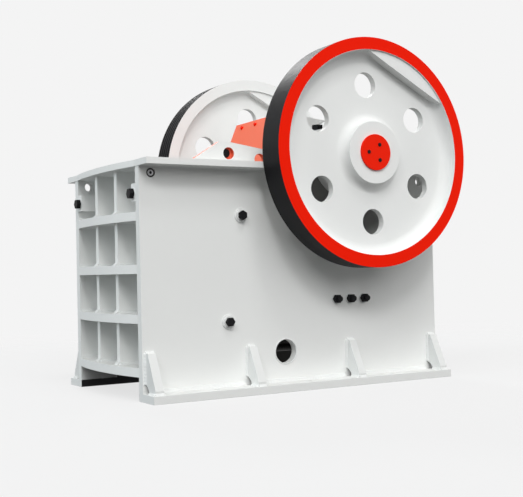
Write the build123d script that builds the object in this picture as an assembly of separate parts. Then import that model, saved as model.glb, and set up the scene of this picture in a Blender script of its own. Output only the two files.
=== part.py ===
# Jaw crusher of the 600 by 900 mm class: a welded box frame, a fixed jaw on the ribbed
# front wall and a swing jaw that hangs on an eccentric shaft between two flywheels.
# X runs from the ribbed front to the rear, Y across the machine and Z up from its feet.
# Lengths are in millimetres. Until a piece is saved, X is counted from the frame's front.
from build123d import *
from math import asin, cos, degrees, hypot, pi, radians, sin
import os

os.makedirs("parts", exist_ok=True)

# Frame
frame_length = 2350.0
frame_width = 1127.0
frame_height = 1506.0
side_plate_thickness = 55.0
foot_thickness = 50.0
foot_reach = 164.5
top_flange_thickness = 40.0
top_flange_reach = 136.5
top_flange_overhang = 6.0

# Ribbed front wall
bow_height = 50.0
front_depth = 220.0
front_wall_thickness = 50.0
rib_thickness = 56.0
rib_gaps = [284.0, 276.0, 256.0, 277.0]
front_rib_names = ["upper", "middle", "lower", "bottom"]
stiffener_thickness = 46.0
stiffener_recess = 6.0
clamp_block_width = 65.0
clamp_block_height = 113.0
clamp_block_rise = 66.0

# Rear wall
rear_depth = 120.0
rear_wall_thickness = 50.0
rear_row_count = 3

# Gussets: the two at the front end keep their spacing, and so do the two at the rear
gusset_from_front = 49.0
gusset_from_rear = 49.0
gusset_spacing = 726.0
gusset_thickness = 56.0
gusset_height = 250.0
gusset_top = 34.0
gusset_reach = 142.0
gusset_foot = 28.0
rathole_radius = 51.0

# Holes in the frame
anchor_spacing = 700.0
anchor_count = 3
anchor_radius = 22.5
anchor_from_plate = 76.5
lift_radius = 30.0
lift_from_front = 82.0
lift_from_rear = 118.0
lift_below_top = 82.0
access_radius = 80.0
access_x = 1047.0
access_z = 251.0

# Shaft and bearings
shaft_x = 1584.0
shaft_rise = 69.0
running_clearance = 0.05
seat_clearance = 0.3
journal_radius = 130.0
eccentric_radius = 150.0
eccentric_throw = 15.0
eccentric_overhang = 10.0
wheel_seat_radius = 110.0
housing_radius = 285.0
housing_inner_reach = 38.5
housing_outer_reach = 126.5
housing_half_width = 296.0
housing_foot_reach = 74.0
housing_foot_thickness = 45.0
cap_shoulder_height = 170.0
cap_shoulder_inner = 165.0
cover_radius = 225.0
cover_thickness = 12.0

# Flywheels
wheel_radius = 775.0
wheel_width = 200.0
wheel_stand_off = 351.5
rim_height = 83.0
web_depth = 85.0
web_thickness = 50.0
hub_radius = 210.0
hub_recess = 18.0
hub_inner_recess = 5.0
rim_fillet = 75.0
hub_fillet = 60.0
back_fillet = 34.0
wheel_hole_radius = 87.5
wheel_hole_from_rim = 227.0
wheel_hole_count = 6
counterweight_angle = 62.5
counterweight_height = 97.0
counterweight_recess = 12.0
belt_groove_count = 5
belt_groove_pitch = 37.0
belt_groove_width = 27.0
belt_groove_depth = 24.0
belt_groove_floor = 9.0
cap_radius = 121.5
cap_thickness = 12.5

# Crushing chamber
jaw_lean = 23.0
gape_at_top = 1079.0
tooth_depth = 38.0
tooth_flat = 16.0
jaw_base = 62.0
fixed_tooth_count = 12
fixed_jaw_side_gap = 3.5
fixed_jaw_bottom = 262.0
fixed_jaw_top_drop = 60.0
moving_tooth_count = 11
moving_jaw_side_gap = 13.5
moving_jaw_length = 1270.0
moving_jaw_top_drop = 60.0
cheek_thickness = 40.0
cheek_bottom = 300.0
cheek_behind_jaw = 120.0

# Pitman, in lengths down the swing jaw's face and back from it
pitman_side_gap = 38.5
pitman_body_step = 30.0
pitman_plate = 70.0
pitman_heel_depth = 52.0
pitman_heel = 38.0
barrel_radius = 300.0
pitman_web_thickness = 45.0
pitman_web_count = 4
pitman_back = 330.0
toggle_seat_drop = 1085.0
toggle_seat_half_height = 92.0
lug_back = 300.0
lug_radius = 52.0
lug_gap = 66.0
lug_thickness = 30.0
guard_thickness = 25.0
guard_length = 450.0
guard_step = 20.0
wedge_length = 58.0

# Toggle and tension rod
beam_front = 1420.0
beam_rear = 1760.0
beam_drop = 836.0
beam_height = 150.0
toggle_thickness = 50.0
toggle_end_radius = 40.0
toggle_step = 20.0
moving_clearance = 7.0
rod_radius = 28.0
pin_radius = 25.0
pin_overhang = 8.0
eye_wall = 28.0
eye_thickness = 50.0
bracket_x = 1640.0
bracket_thickness = 40.0
bracket_half_width = 120.0
bracket_below_rod = 105.0
spring_length = 200.0
spring_radius = 62.0
spring_wire_radius = 12.0
spring_turns = 5
spring_turn_steps = 16
spring_wire_sides = 8
seat_radius = 85.0
seat_thickness = 20.0
nut_across_flats = 84.0
nut_thickness = 50.0
rod_end_overhang = 45.0

# Feed guards on the top of the side plates
guard_front_x = 362.0
guard_peak_x = 584.0
guard_shoulder_x = 665.0
guard_peak_height = 140.0
guard_rear_height = 60.0
guard_rear_gap = 9.0
guard_plate_thickness = 40.0
guard_corner_radius = 30.0
guard_hole_radius = 40.0
guard_hole_x = [650.0, 885.0]
guard_hole_depth = 76.0

# Worked out from the sizes above
half_width = frame_width / 2
inner_y = half_width - side_plate_thickness
stiffener_offset = inner_y / 3
plate_top = frame_height - top_flange_thickness
beam_top = frame_height - beam_drop
beam_bottom = beam_top - beam_height
foot_y = half_width + foot_reach
flange_y = half_width + top_flange_reach
front_wall_back = front_depth + front_wall_thickness
cheek_y = inner_y - cheek_thickness
tooth_pitch = 2 * (cheek_y - fixed_jaw_side_gap) / fixed_tooth_count
moving_jaw_half_width = cheek_y - moving_jaw_side_gap
pitman_half_width = cheek_y - pitman_side_gap
pitman_body_half_width = pitman_half_width - pitman_body_step
guard_half_width = pitman_half_width - guard_step
toggle_half_width = pitman_body_half_width - toggle_step
shaft_z = frame_height + shaft_rise
eccentric_half_length = pitman_half_width + eccentric_overhang
housing_inner_y = inner_y - housing_inner_reach
housing_outer_y = half_width + housing_outer_reach
foot_half_width = housing_half_width + housing_foot_reach
wheel_face_y = half_width + wheel_stand_off
rim_inner_radius = wheel_radius - rim_height
wheel_hole_pitch_radius = rim_inner_radius - wheel_hole_from_rim
centre_x = (max(frame_length, shaft_x + wheel_radius) - bow_height) / 2
lean_sin = sin(radians(jaw_lean))
lean_cos = cos(radians(jaw_lean))
throw_x = -eccentric_throw * cos(radians(counterweight_angle))
throw_z = -eccentric_throw * sin(radians(counterweight_angle))
pitman_axis = (shaft_x + throw_x, shaft_z + throw_z)
jaw_thickness = jaw_base + tooth_depth
eye_bore = pin_radius + eccentric_throw + moving_clearance
eye_radius = eye_bore + eye_wall
lug_drop = toggle_seat_drop + toggle_seat_half_height + eye_radius + eccentric_throw + moving_clearance
# The swing jaw's face: first coordinate back into the jaw, second up along its lean.
lean = Plane(origin=(gape_at_top, 0, frame_height), x_dir=(lean_cos, 0, -lean_sin), z_dir=(0, -1, 0))


def to_world(back, up):
    """World X and Z of a point given by its place on the leaning jaw."""
    return (gape_at_top + back * lean_cos + up * lean_sin, frame_height - back * lean_sin + up * lean_cos)


def to_lean(x, z):
    """The place of a world point on the leaning jaw: back into it, and up along it."""
    dx, dz = x - gape_at_top, z - frame_height
    return (dx * lean_cos - dz * lean_sin, dx * lean_sin + dz * lean_cos)


def block(x, y, z):
    """A box from three pairs of low and high limits."""
    size = [high - low for low, high in (x, y, z)]
    middle = [(high + low) / 2 for low, high in (x, y, z)]
    return Pos(*middle) * Box(*size)


def across(outline, y_low, y_high):
    """A plate whose outline is drawn in X and Z, between two places across the machine."""
    return Pos(0, y_low, 0) * extrude(Plane.XZ * outline, amount=y_high - y_low, dir=(0, 1, 0))


def upright(outline, z_low, z_high):
    """A slab whose outline is drawn in X and Y, between two heights."""
    return Pos(0, 0, z_low) * extrude(outline, amount=z_high - z_low)


def round_bar(x, z, radius, y_low, y_high):
    """A round bar that runs across the machine."""
    return across(Pos(x, z) * Circle(radius), y_low, y_high)


def outline_of(*points):
    return Polygon(*points, align=None)


def save(node, *solids):
    """Write one node, with X counted from the middle of the machine."""
    placed = [solid for shape in solids for solid in (Pos(-centre_x, 0, 0) * shape).solids()]
    export_step(placed[0] if len(placed) == 1 else Compound(placed), f"parts/{node}.step")


def save_pair(name, *solids):
    """Write a piece of the right side, and its mirror image on the left."""
    save(f"{name}_right", *solids)
    save(f"{name}_left", *[mirror(solid, about=Plane.XZ) for solid in solids])


def side_plate():
    outline = outline_of((0, foot_thickness), (frame_length, foot_thickness),
                         (frame_length, plate_top), (0, plate_top))
    outline -= Pos(shaft_x, shaft_z) * Circle(housing_radius + seat_clearance)
    for x in (lift_from_front, frame_length - lift_from_rear):
        outline -= Pos(x, frame_height - lift_below_top) * Circle(lift_radius)
    outline -= Pos(access_x, access_z) * Circle(access_radius)
    return across(outline, -half_width, -inner_y)


def base_flange():
    outline = outline_of((0, -inner_y), (0, -foot_y), (frame_length, -foot_y), (frame_length, -inner_y))
    for step in range(anchor_count):
        x = frame_length / 2 + (step - (anchor_count - 1) / 2) * anchor_spacing
        outline -= Pos(x, -half_width - anchor_from_plate) * Circle(anchor_radius)
    return upright(outline, 0, foot_thickness)


def top_flange():
    flange = block((-top_flange_overhang, frame_length), (-flange_y, -inner_y), (plate_top, frame_height))
    return flange - round_bar(shaft_x, shaft_z, housing_radius + seat_clearance, -flange_y, -inner_y)


def gussets():
    """Four triangular stays between a side plate and its foot, with a rathole over the weld."""
    outline = outline_of((-half_width, foot_thickness), (-half_width, foot_thickness + gusset_height),
                         (-half_width - gusset_top, foot_thickness + gusset_height),
                         (-half_width - gusset_reach, foot_thickness + gusset_foot),
                         (-half_width - gusset_reach, foot_thickness))
    outline -= Pos(-half_width, foot_thickness) * Circle(rathole_radius)
    stay = extrude(Plane.YZ * outline, amount=gusset_thickness)
    last = frame_length - gusset_from_rear
    places = [gusset_from_front, gusset_from_front + gusset_spacing, last - gusset_spacing, last]
    return [Pos(x - gusset_thickness / 2, 0, 0) * stay for x in places]


def bowed_outline(end_x, back_x):
    """A rib across the front, whose free edge bows forward between the side plates."""
    edge = ThreePointArc((end_x, -inner_y), (-bow_height, 0), (end_x, inner_y))
    sides = Polyline((end_x, inner_y), (back_x, inner_y), (back_x, -inner_y), (end_x, -inner_y))
    return make_face([edge, sides])


def row_limits(row):
    """Bottom and top of one row of cells in the ribbed walls, counted from the top."""
    top = plate_top - sum(rib_gaps[:row]) - row * rib_thickness
    return top - rib_gaps[row], top


def front_wall():
    bottom = row_limits(len(front_rib_names) - 1)[0] - rib_thickness
    save("front_wall", block((front_depth, front_wall_back), (-inner_y, inner_y), (bottom, plate_top)))
    save("front_rib_top", upright(bowed_outline(-top_flange_overhang, front_wall_back),
                                  plate_top, frame_height))
    near_y = (-stiffener_offset - stiffener_thickness / 2, -stiffener_offset + stiffener_thickness / 2)
    stiffeners = []
    for row, name in enumerate(front_rib_names):
        low, high = row_limits(row)
        save(f"front_rib_{name}", upright(bowed_outline(0, front_depth), low - rib_thickness, low))
        stiffeners.append(block((stiffener_recess, front_depth), near_y, (low, high)))
    save_pair("front_stiffeners", *stiffeners)
    base = row_limits(0)[0] + clamp_block_rise
    save_pair("clamp_block", block((0, front_depth), (-inner_y, clamp_block_width - inner_y),
                                   (base, base + clamp_block_height)))


def rear_wall():
    wall_rear = frame_length - rear_depth
    wall_x = (wall_rear - rear_wall_thickness, wall_rear)
    bottom = row_limits(rear_row_count - 1)[0] - rib_thickness
    save("rear_wall", block(wall_x, (-inner_y, inner_y), (bottom, plate_top)))
    save("rear_rib_top", block((wall_x[0], frame_length), (-inner_y, inner_y), (plate_top, frame_height)))
    ribs, stiffeners = [], []
    for row in range(rear_row_count):
        low, high = row_limits(row)
        ribs.append(block((wall_rear, frame_length), (-inner_y, inner_y), (low - rib_thickness, low)))
        for y in (-stiffener_offset, stiffener_offset):
            across_y = (y - stiffener_thickness / 2, y + stiffener_thickness / 2)
            stiffeners.append(block((wall_rear, frame_length - stiffener_recess), across_y, (low, high)))
    save("rear_ribs", *ribs)
    save("rear_stiffeners", *stiffeners)


def housing_foot():
    return block((shaft_x - foot_half_width, shaft_x + foot_half_width), (-housing_outer_y, -inner_y),
                 (frame_height, frame_height + housing_foot_thickness))


def bearing_covers(solid):
    """Add the round seal covers to both faces of a housing half."""
    for y in (-housing_outer_y - cover_thickness, -housing_inner_y):
        solid += round_bar(shaft_x, shaft_z, cover_radius, y, y + cover_thickness)
    return solid


def bearing_housing():
    """The lower half, let into the side plate and its flange, with feet on the flange."""
    drum = round_bar(shaft_x, shaft_z, housing_radius, -housing_outer_y, -housing_inner_y)
    seat = block((shaft_x - housing_half_width, shaft_x + housing_half_width),
                 (-housing_outer_y, -inner_y), (frame_height, shaft_z))
    lower = bearing_covers(drum) + seat + housing_foot()
    lower &= block((shaft_x - wheel_radius, shaft_x + wheel_radius), (-wheel_face_y, 0), (0, shaft_z))
    return lower - journal_bore()


def journal_bore():
    return round_bar(shaft_x, shaft_z, journal_radius + running_clearance, -wheel_face_y, 0)


def bearing_cap():
    """The upper half, with a flat shoulder on each side for its vertical bolts."""
    cap = round_bar(shaft_x, shaft_z, housing_radius, -housing_outer_y, -housing_inner_y)
    for side in (-1, 1):
        edges = sorted((shaft_x + side * cap_shoulder_inner, shaft_x + side * housing_half_width))
        cap += block(edges, (-housing_outer_y, -inner_y), (shaft_z, shaft_z + cap_shoulder_height))
    cap = bearing_covers(cap)
    cap &= block((shaft_x - wheel_radius, shaft_x + wheel_radius), (-wheel_face_y, 0),
                 (shaft_z, shaft_z + wheel_radius))
    return cap - journal_bore()


def flywheel(grooved):
    """A dished wheel on the Y axis: rim, web, hub, six holes and a counterweight."""
    outer, inner = -wheel_face_y, wheel_width - wheel_face_y
    web_outer = outer + web_depth
    web_inner = web_outer + web_thickness
    hub_outer = outer + hub_recess
    hub_inner = inner - hub_inner_recess
    bore = wheel_seat_radius + running_clearance
    tread = [(wheel_radius, outer)]
    if grooved:
        tread += belt_grooves((outer + inner) / 2)
    tread.append((wheel_radius, inner))
    section = outline_of((bore, hub_outer), (hub_radius, hub_outer), (hub_radius, web_outer),
                         (rim_inner_radius, web_outer), (rim_inner_radius, outer), *tread,
                         (rim_inner_radius, inner), (rim_inner_radius, web_inner),
                         (hub_radius, web_inner), (hub_radius, hub_inner), (bore, hub_inner))
    corners = {(hub_radius, web_outer): hub_fillet, (rim_inner_radius, web_outer): rim_fillet,
               (rim_inner_radius, web_inner): back_fillet, (hub_radius, web_inner): back_fillet}
    for corner, radius in corners.items():
        section = fillet(section.vertices().sort_by_distance((*corner, 0))[0], radius)
    wheel = revolve(section, axis=Axis.Y)
    wheel += counterweight(outer + counterweight_recess, inner - counterweight_recess)
    for step in range(wheel_hole_count):
        angle = radians(counterweight_angle + (step + 0.5) * 360 / wheel_hole_count)
        place = (wheel_hole_pitch_radius * cos(angle), wheel_hole_pitch_radius * sin(angle))
        wheel -= round_bar(*place, wheel_hole_radius, outer, inner)
    return Pos(shaft_x, 0, shaft_z) * wheel


def belt_grooves(middle):
    """Corner points of the V grooves for the drive belts, across the tread."""
    points = []
    for step in range(belt_groove_count):
        y = middle + (step - (belt_groove_count - 1) / 2) * belt_groove_pitch
        floor = wheel_radius - belt_groove_depth
        points += [(wheel_radius, y - belt_groove_width / 2), (floor, y - belt_groove_floor / 2),
                   (floor, y + belt_groove_floor / 2), (wheel_radius, y + belt_groove_width / 2)]
    return points


def counterweight(y_outer, y_inner):
    """The segment cast between the rim and a chord, opposite the eccentric."""
    reach = rim_inner_radius + rim_fillet / 4
    chord = rim_inner_radius - counterweight_height
    segment = Pos((chord + wheel_radius) / 2, 0) * Rectangle(wheel_radius - chord, 2 * wheel_radius)
    return across(Circle(reach) & (Rot(0, 0, counterweight_angle) * segment), y_outer, y_inner)


def shaft():
    x, z = pitman_axis
    body = round_bar(x, z, eccentric_radius, -eccentric_half_length, eccentric_half_length)
    shoulder = wheel_face_y - wheel_width
    body += round_bar(shaft_x, shaft_z, journal_radius, -shoulder, shoulder)
    end = wheel_face_y - hub_recess
    return body + round_bar(shaft_x, shaft_z, wheel_seat_radius, -end, end)


def shaft_cap():
    face = hub_recess - wheel_face_y
    return round_bar(shaft_x, shaft_z, cap_radius, face - cap_thickness, face)


def toothed_plate(count, margin, length):
    """A jaw plate with V teeth: X from its back to the tips, Y across it and Z along it."""
    half = count * tooth_pitch / 2 + margin
    flank = (tooth_pitch - 2 * tooth_flat) / 2
    points = [(0, -half), (jaw_base, -half)]
    for step in range(count):
        start = margin - half + step * tooth_pitch + tooth_flat / 2
        rise = start + flank
        points += [(jaw_base, start), (jaw_thickness, rise),
                   (jaw_thickness, rise + tooth_flat), (jaw_base, rise + tooth_flat + flank)]
    points += [(jaw_base, half), (0, half)]
    return extrude(outline_of(*points), amount=length)


def jaw_plates():
    length = frame_height - fixed_jaw_top_drop - fixed_jaw_bottom
    save("fixed_jaw_plate", Pos(front_wall_back, 0, fixed_jaw_bottom)
         * toothed_plate(fixed_tooth_count, 0, length))
    margin = moving_jaw_half_width - moving_tooth_count * tooth_pitch / 2
    x, z = to_world(jaw_thickness, -moving_jaw_top_drop - moving_jaw_length)
    seat = Plane(origin=(x, 0, z), x_dir=(-lean_cos, 0, lean_sin), z_dir=(lean_sin, 0, lean_cos))
    save("moving_jaw_plate", seat.location * toothed_plate(moving_tooth_count, margin, moving_jaw_length))


def cheek_plate():
    """The wear plate beside the jaws, cut parallel to the swing jaw behind its face."""
    drops = [(plate_top - frame_height) / lean_cos, (cheek_bottom - frame_height) / lean_cos]
    rear = [gape_at_top + cheek_behind_jaw / lean_cos + drop * lean_sin for drop in drops]
    outline = outline_of((front_wall_back, cheek_bottom), (rear[1], cheek_bottom),
                         (rear[0], plate_top), (front_wall_back, plate_top))
    return across(outline, -inner_y, -cheek_y)


def leaning(outline, half):
    """A solid whose outline is drawn on the leaning jaw, with the same width on both sides."""
    return extrude(lean * outline, amount=half, both=True)


def pitman():
    head = to_lean(*pitman_axis)
    plate_back = jaw_thickness + pitman_plate
    heel_low = -moving_jaw_top_drop - moving_jaw_length - pitman_heel
    plate = outline_of((jaw_thickness, 0), (jaw_thickness, heel_low + pitman_heel),
                       (jaw_thickness - pitman_heel_depth, heel_low + pitman_heel),
                       (jaw_thickness - pitman_heel_depth, heel_low), (plate_back, heel_low),
                       (plate_back, 0))
    barrel = Pos(*head) * Circle(barrel_radius)
    body = leaning(plate, pitman_half_width) + leaning(barrel, pitman_half_width)
    top_pad = outline_of((guard_thickness, 0), (guard_thickness, guard_length - guard_thickness),
                         (head[0], head[1] + barrel_radius), head, (plate_back, 0))
    body += leaning(top_pad, pitman_body_half_width)
    seat_low = -toggle_seat_drop - toggle_seat_half_height
    seat_high = -toggle_seat_drop + toggle_seat_half_height
    seat = outline_of((plate_back, seat_low), (plate_back, seat_high),
                      (pitman_back, seat_high), (pitman_back, seat_low))
    body += leaning(seat, pitman_body_half_width)
    web = outline_of((jaw_thickness, 0), (jaw_thickness, heel_low), (plate_back, heel_low),
                     (pitman_back, seat_low), (pitman_back, seat_high),
                     (head[0] + barrel_radius * lean_cos, head[1] - barrel_radius * lean_sin), head)
    web_spacing = (2 * pitman_body_half_width - pitman_web_thickness) / (pitman_web_count - 1)
    for step in range(pitman_web_count):
        y = -pitman_body_half_width + pitman_web_thickness / 2 + step * web_spacing
        body += Pos(0, y, 0) * leaning(web, pitman_web_thickness / 2)
    for y in (-(lug_gap + lug_thickness) / 2, (lug_gap + lug_thickness) / 2):
        lug = Pos(lug_back, -lug_drop) * Circle(lug_radius)
        lug += outline_of((plate_back, -lug_drop - lug_radius), (plate_back, seat_high),
                          (lug_back + lug_radius, seat_low), (lug_back + lug_radius, -lug_drop),
                          (lug_back, -lug_drop - lug_radius))
        body += Pos(0, y, 0) * leaning(lug, lug_thickness / 2)
    groove = toggle_end_radius + eccentric_throw + moving_clearance
    body -= leaning(Pos(pitman_back, -toggle_seat_drop) * Circle(groove), frame_width)
    body -= leaning(Pos(lug_back, -lug_drop) * Circle(pin_radius + running_clearance), frame_width)
    return body - leaning(Pos(*head) * Circle(eccentric_radius + running_clearance), frame_width)


def swing_jaw():
    save("pitman", pitman())
    save("pitman_guard", leaning(outline_of((0, 0), (0, guard_length), (guard_thickness, guard_length),
                                            (guard_thickness, 0)), guard_half_width))
    bottom = -moving_jaw_top_drop
    wedge = outline_of((jaw_thickness - pitman_heel_depth, 0), (jaw_base / 2, bottom),
                       (jaw_thickness, bottom), (jaw_thickness, 0))
    save("jaw_wedge", leaning(wedge, pitman_body_half_width))
    pin_half = lug_gap / 2 + lug_thickness + pin_overhang
    save("tension_pin", leaning(Pos(lug_back, -lug_drop) * Circle(pin_radius), pin_half))


def toggle():
    """The cross beam that backs the toggle, and the toggle plate up to the swing jaw's seat."""
    middle = (beam_bottom + beam_top) / 2
    beam = outline_of((beam_front, beam_bottom), (beam_rear, beam_bottom),
                      (beam_rear, beam_top), (beam_front, beam_top))
    beam -= Pos(beam_front, middle) * Circle(toggle_end_radius + seat_clearance)
    save("toggle_beam", across(beam, -inner_y, inner_y))
    seat_x, seat_z = to_world(pitman_back, -toggle_seat_drop)
    front = (seat_x - throw_x, seat_z - throw_z)
    run = (beam_front - front[0], middle - front[1])
    length = hypot(*run)
    ends = Pos(length / 2, 0) * Circle(toggle_end_radius) + Pos(-length / 2, 0) * Circle(toggle_end_radius)
    bar = Rectangle(length, toggle_thickness) + ends
    place = Pos((beam_front + front[0]) / 2, (middle + front[1]) / 2) * Rot(0, 0, degrees(asin(run[1] / length)))
    save("toggle_plate", across(place * bar, -toggle_half_width, toggle_half_width))


def along(radius, x_low, x_high, z):
    """A round bar that runs from front to rear on the middle of the machine."""
    return Pos(x_low, 0, z) * extrude(Plane.YZ * Circle(radius), amount=x_high - x_low)


def tension_rod():
    """The rod that keeps the toggle in its seats, with its bracket, spring, seat and nut."""
    pin_x, pin_z = to_world(lug_back, -lug_drop)
    eye_x, rod_z = pin_x - throw_x, pin_z - throw_z
    spring_x = bracket_x + bracket_thickness
    seat_x = spring_x + spring_length
    nut_x = seat_x + seat_thickness
    rod = along(rod_radius, eye_x, nut_x + nut_thickness + rod_end_overhang, rod_z)
    rod += round_bar(eye_x, rod_z, eye_radius, -eye_thickness / 2, eye_thickness / 2)
    rod -= round_bar(eye_x, rod_z, eye_bore, -eye_radius, eye_radius)
    save("tension_rod", rod)
    hole = along(rod_radius + seat_clearance, bracket_x, nut_x + nut_thickness, rod_z)
    bracket = block((bracket_x, spring_x), (-bracket_half_width, bracket_half_width),
                    (rod_z - bracket_below_rod, beam_bottom))
    save("spring_bracket", bracket - hole)
    save("tension_spring", Pos(spring_x, 0, rod_z) * Rot(0, 90, 0) * coil_spring())
    save("spring_seat", along(seat_radius, seat_x, nut_x, rod_z) - hole)
    nut = extrude(Plane.YZ * RegularPolygon(nut_across_flats / 2, 6, major_radius=False),
                  amount=nut_thickness)
    save("tension_nut", Pos(nut_x, 0, rod_z) * nut - hole)


def coil_spring():
    """A coil along Z from 0 to its length, ground flat at both ends and plain between them."""
    steps = spring_turns * spring_turn_steps
    rise = (spring_length + 2 * spring_wire_radius) / steps
    turn = 2 * pi / spring_turn_steps
    path = Polyline([(spring_radius * cos(step * turn), spring_radius * sin(step * turn), step * rise)
                     for step in range(steps + 1)])
    section = Plane(origin=path @ 0, z_dir=path % 0) * RegularPolygon(spring_wire_radius, spring_wire_sides)
    coil = Pos(0, 0, -spring_wire_radius) * sweep(section, path=path, transition=Transition.RIGHT)
    return coil & (Pos(0, 0, spring_length / 2) * Box(4 * spring_radius, 4 * spring_radius, spring_length))


def feed_guard():
    """The raised plate beside the feed opening, on the top of a side plate."""
    top = frame_height
    rear = shaft_x - foot_half_width - guard_rear_gap
    outline = outline_of((guard_front_x, top), (guard_peak_x, top + guard_peak_height),
                         (guard_shoulder_x, top + guard_peak_height - 2),
                         (rear, top + guard_rear_height), (rear, top))
    corners = outline.vertices().sort_by(Axis.Y)[-2:]
    outline = fillet(corners, guard_corner_radius)
    slope = (guard_rear_height - guard_peak_height) / (rear - guard_shoulder_x)
    for x in guard_hole_x:
        edge = top + guard_peak_height + max(0, x - guard_shoulder_x) * slope
        outline -= Pos(x, edge - guard_hole_depth) * Circle(guard_hole_radius)
    return across(outline, -inner_y - guard_plate_thickness, -inner_y)


save_pair("side_plate", side_plate())
save_pair("base_flange", base_flange())
save_pair("top_flange", top_flange())
save_pair("gussets", *gussets())
front_wall()
rear_wall()
save_pair("bearing_housing", bearing_housing())
save_pair("bearing_cap", bearing_cap())
save("flywheel_right", flywheel(grooved=False))
save("flywheel_left", mirror(flywheel(grooved=True), about=Plane.XZ))
save("eccentric_shaft", shaft())
save_pair("shaft_cap", shaft_cap())
jaw_plates()
save_pair("cheek_plate", cheek_plate())
swing_jaw()
toggle()
tension_rod()
save_pair("feed_guard", feed_guard())
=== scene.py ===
import bpy
import bmesh
import math
from mathutils import Matrix, Vector


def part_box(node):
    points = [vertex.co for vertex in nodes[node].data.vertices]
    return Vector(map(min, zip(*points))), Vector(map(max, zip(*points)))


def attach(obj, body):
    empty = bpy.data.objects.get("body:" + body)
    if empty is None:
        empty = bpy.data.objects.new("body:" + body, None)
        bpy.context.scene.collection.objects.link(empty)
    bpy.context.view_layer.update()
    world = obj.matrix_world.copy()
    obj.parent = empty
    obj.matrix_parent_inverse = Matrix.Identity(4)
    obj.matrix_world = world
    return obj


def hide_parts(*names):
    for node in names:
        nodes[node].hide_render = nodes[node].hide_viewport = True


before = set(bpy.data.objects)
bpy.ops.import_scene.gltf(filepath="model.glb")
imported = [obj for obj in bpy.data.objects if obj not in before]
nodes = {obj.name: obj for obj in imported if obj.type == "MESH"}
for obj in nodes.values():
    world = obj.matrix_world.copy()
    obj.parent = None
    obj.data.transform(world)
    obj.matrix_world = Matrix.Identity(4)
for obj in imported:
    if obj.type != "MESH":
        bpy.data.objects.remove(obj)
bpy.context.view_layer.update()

# Where the machine's own lines lie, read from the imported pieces, in metres
sideLow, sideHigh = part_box("side_plate_right")
wheelLow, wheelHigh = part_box("flywheel_right")
plateOuter = -sideLow.y
plateInner = -sideHigh.y
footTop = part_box("base_flange_right")[1].z
capFace = -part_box("shaft_cap_right")[0].y
shaftX = (wheelLow.x + wheelHigh.x) / 2
shaftZ = (wheelLow.z + wheelHigh.z) / 2
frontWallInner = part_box("front_wall")[1].x
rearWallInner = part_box("rear_wall")[0].x
bothSides = (("Right", -1), ("Left", 1))


# Short ways to add, feed and join shader nodes
def addNode(tree, kind, **settings):
    node = tree.nodes.new("ShaderNode" + kind)
    for label, value in settings.items():
        setattr(node, label, value)
    return node


def feed(tree, socket, value):
    # a number or a colour is set on the socket, and an output is joined to it
    if isinstance(value, (int, float)):
        socket.default_value = value
    elif isinstance(value, tuple):
        socket.default_value = value + (1,)
    else:
        tree.links.new(value, socket)


def feedNamed(tree, node, values):
    for label, value in values.items():
        feed(tree, node.inputs[label], value)


def maths(tree, operation, first, second=0.0, clamp=False):
    node = addNode(tree, "Math", operation=operation, use_clamp=clamp)
    feed(tree, node.inputs[0], first)
    feed(tree, node.inputs[1], second)
    return node.outputs[0]


def allOf(tree, *masks):
    # 1 only where every mask is 1
    whole = masks[0]
    for mask in masks[1:]:
        whole = maths(tree, "MULTIPLY", whole, mask)
    return whole


def weighted(tree, first, second, part):
    # a part of the first value and the rest of the second
    return maths(tree, "ADD", maths(tree, "MULTIPLY", first, part), maths(tree, "MULTIPLY", second, 1 - part))


def noise(tree, vector, scale, detail, roughness=0.55):
    node = addNode(tree, "TexNoise")
    feedNamed(tree, node, {"Vector": vector, "Scale": scale, "Detail": detail, "Roughness": roughness})
    return node.outputs["Fac"]


def spread(tree, value, low, high, toLow=0.0, toHigh=1.0):
    node = addNode(tree, "MapRange", interpolation_type="SMOOTHSTEP")
    feedNamed(tree, node, {"Value": value, "From Min": low, "From Max": high, "To Min": toLow,
                           "To Max": toHigh})
    return node.outputs["Result"]


def blendColour(tree, mask, first, second):
    node = addNode(tree, "Mix", data_type="RGBA")
    for number, value in ((0, mask), (6, first), (7, second)):    # the factor and the two colours
        feed(tree, node.inputs[number], value)
    return node.outputs[2]


def mixShaders(tree, part, first, second):
    node = addNode(tree, "MixShader")
    for socket, value in zip(node.inputs, (part, first, second)):
        feed(tree, socket, value)
    return node.outputs[0]


def separate(tree, vector):
    node = addNode(tree, "SeparateXYZ")
    tree.links.new(vector, node.inputs[0])
    return node.outputs


# Camera, at the photograph's own place and angle
photoView = {"place": (-3.6079, -6.160, 0.7893), "yaw": 30.74, "pitch": 1.353, "roll": -1.337,
             "lens": 67.475, "sensor": 36.0, "farthest": 100.0}


def addCamera():
    yaw, pitch, roll = (math.radians(photoView[angle]) for angle in ("yaw", "pitch", "roll"))
    ahead = Vector((math.sin(yaw) * math.cos(pitch), math.cos(yaw) * math.cos(pitch), math.sin(pitch)))
    right = Vector((math.cos(yaw), -math.sin(yaw), 0))
    up = right.cross(ahead)
    tiltedRight = right * math.cos(roll) + up * math.sin(roll)
    tiltedUp = up * math.cos(roll) - right * math.sin(roll)
    camera = bpy.data.objects.new("photoCamera", bpy.data.cameras.new("photoCamera"))
    camera.data.lens = photoView["lens"]
    camera.data.sensor_width = photoView["sensor"]
    camera.data.clip_end = photoView["farthest"]
    turn = Matrix((tiltedRight, tiltedUp, -ahead)).transposed().to_4x4()
    camera.matrix_world = Matrix.Translation(photoView["place"]) @ turn
    bpy.context.collection.objects.link(camera)
    bpy.context.scene.camera = camera


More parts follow.
